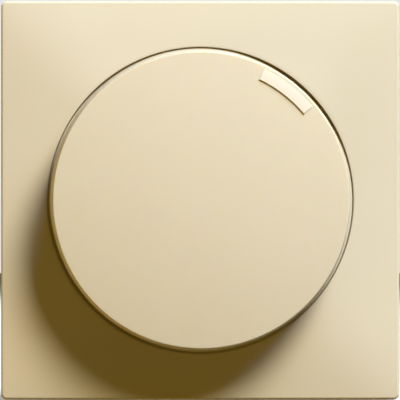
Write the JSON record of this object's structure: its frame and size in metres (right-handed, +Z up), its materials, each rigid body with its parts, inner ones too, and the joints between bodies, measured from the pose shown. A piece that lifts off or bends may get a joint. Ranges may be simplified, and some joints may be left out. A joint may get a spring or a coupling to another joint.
{
  "type": "rotary dimmer switch",
  "caption": "Flush rotary dimmer: square cream cover plate, large round push-and-turn knob with a raised arc marker, steel support ring, spreader claws and rear housing with screw terminals.",
  "frame": {"origin": "centre of the support ring's back face, which lies on the wall, on the knob's axis", "axes": "-Y out of the wall towards the user, +X to the user's right, +Z up"},
  "size_m": [0.0704, 0.043, 0.0704],
  "materials": {
    "cream_plastic": "satin moulded thermoplastic, cream",
    "knob_plastic": "satin moulded thermoplastic, cream",
    "marker_plastic": "satin moulded thermoplastic, cream",
    "grey_plastic": "matt glass-filled plastic, dark grey",
    "white_plastic": "natural white plastic",
    "pot_plastic": "pale grey plastic",
    "black_plastic": "black epoxy moulding",
    "capacitor_plastic": "blue moulded box",
    "resistor_body": "lacquered, tan",
    "diode_glass": "blue lacquered body",
    "pad_sheet": "grey insulating sheet",
    "board_laminate": "phenolic laminate, brown",
    "carbon_film": "printed carbon",
    "ferrite": "lacquered iron powder, yellow",
    "fuse_tube": "clear glass",
    "ring_steel": "zinc plated sheet steel",
    "claw_steel": "zinc plated sheet steel",
    "zinc_steel": "zinc plated",
    "bright_steel": "bright turned steel",
    "spring_steel": "tempered spring steel",
    "nut_brass": "nickel free turned brass",
    "clamp_brass": "machined brass",
    "contact_bronze": "phosphor bronze strip",
    "copper_wire": "enamelled copper wire"
  },
  "bodies": {
    "base": {"cover_plate": "cream_plastic", "fixing_nut": "nut_brass", "lock_washer": "zinc_steel", "bushing": "nut_brass", "pot_case": "pot_plastic", "track_board": "board_laminate", "carbon_track": "carbon_film", "switch_case": "grey_plastic", "return_spring": "spring_steel", "fixed_contacts": "contact_bronze", "support_ring": "ring_steel", "housing_front": "grey_plastic", "housing_cup": "grey_plastic", "housing_screws": "zinc_steel", "circuit_board": "board_laminate", "triac": "black_plastic", "triac_pad": "pad_sheet", "triac_screw": "zinc_steel", "triac_nut": "zinc_steel", "choke_core": "ferrite", "choke_winding": "copper_wire", "film_capacitors": "capacitor_plastic", "resistors": "resistor_body", "trigger_diode": "diode_glass", "trimmer_case": "capacitor_plastic", "fuse_clips": "contact_bronze", "fuse_glass": "fuse_tube", "fuse_caps": "bright_steel", "terminal_clamps": "clamp_brass", "terminal_screws": "zinc_steel", "claw_pins": "bright_steel"},
    "plunger": {"switch_plunger": "white_plastic", "contact_bridge": "contact_bronze"},
    "rotor": {"knob": "knob_plastic", "position_marker": "marker_plastic", "knob_clip": "spring_steel", "shaft": "bright_steel", "shaft_clip": "spring_steel"},
    "wiper": {"wiper_carrier": "white_plastic", "wiper_spring": "contact_bronze"},
    "trimmer": {"trimmer_rotor": "white_plastic"},
    "claw_left_body": {"claw_left": "claw_steel"},
    "claw_right_body": {"claw_right": "claw_steel"},
    "claw_screw_left_body": {"claw_screw_left": "zinc_steel"},
    "claw_screw_right_body": {"claw_screw_right": "zinc_steel"},
    "claw_nut_left_body": {"claw_nut_left": "clamp_brass"},
    "claw_nut_right_body": {"claw_nut_right": "clamp_brass"}
  },
  "joints": [
    {"name": "knob_push", "type": "slide", "parent": "base", "child": "plunger", "axis": [0, 1, 0], "range_m": [0, 0.0014], "stiffness_N_per_m": 2500, "springref_m": -0.0008, "deforming": ["return_spring"]},
    {"name": "knob_turn", "type": "hinge", "parent": "plunger", "child": "rotor", "pos_m": [0, 0, 0], "axis": [0, -1, 0], "range_deg": [-108, 182]},
    {"name": "wiper_turn", "type": "hinge", "parent": "base", "child": "wiper", "pos_m": [0, 0, 0], "axis": [0, -1, 0], "range_deg": [-108, 182]},
    {"name": "trimmer_turn", "type": "hinge", "parent": "base", "child": "trimmer", "pos_m": [0.0111, 0, -0.008], "axis": [0, -1, 0], "range_deg": [-135, 135]},
    {"name": "claw_left_swing", "type": "hinge", "parent": "base", "child": "claw_left_body", "pos_m": [-0.0188, 0.0024, 0], "axis": [0, 0, 1], "range_deg": [0, 25]},
    {"name": "claw_left_nut", "type": "slide", "parent": "base", "child": "claw_nut_left_body", "axis": [0, -1, 0], "range_m": [0, 0.00229]},
    {"name": "claw_left_screw", "type": "hinge", "parent": "base", "child": "claw_screw_left_body", "pos_m": [-0.0231, 0, 0], "axis": [0, 1, 0], "range_deg": [0, 1648.1]},
    {"name": "claw_right_swing", "type": "hinge", "parent": "base", "child": "claw_right_body", "pos_m": [0.0188, 0.0024, 0], "axis": [0, 0, -1], "range_deg": [0, 25]},
    {"name": "claw_right_nut", "type": "slide", "parent": "base", "child": "claw_nut_right_body", "axis": [0, -1, 0], "range_m": [0, 0.00229]},
    {"name": "claw_right_screw", "type": "hinge", "parent": "base", "child": "claw_screw_right_body", "pos_m": [0.0231, 0, 0], "axis": [0, 1, 0], "range_deg": [0, 1648.1]}
  ],
  "couplings": [
    {"joint": "wiper_turn", "follows": "knob_turn", "ratio": 1},
    {"joint": "claw_left_nut", "follows": "claw_left_swing", "m_per_rad": 0.005246},
    {"joint": "claw_left_screw", "follows": "claw_left_swing", "ratio": 65.923},
    {"joint": "claw_right_nut", "follows": "claw_right_swing", "m_per_rad": 0.005246},
    {"joint": "claw_right_screw", "follows": "claw_right_swing", "ratio": 65.923}
  ]
}
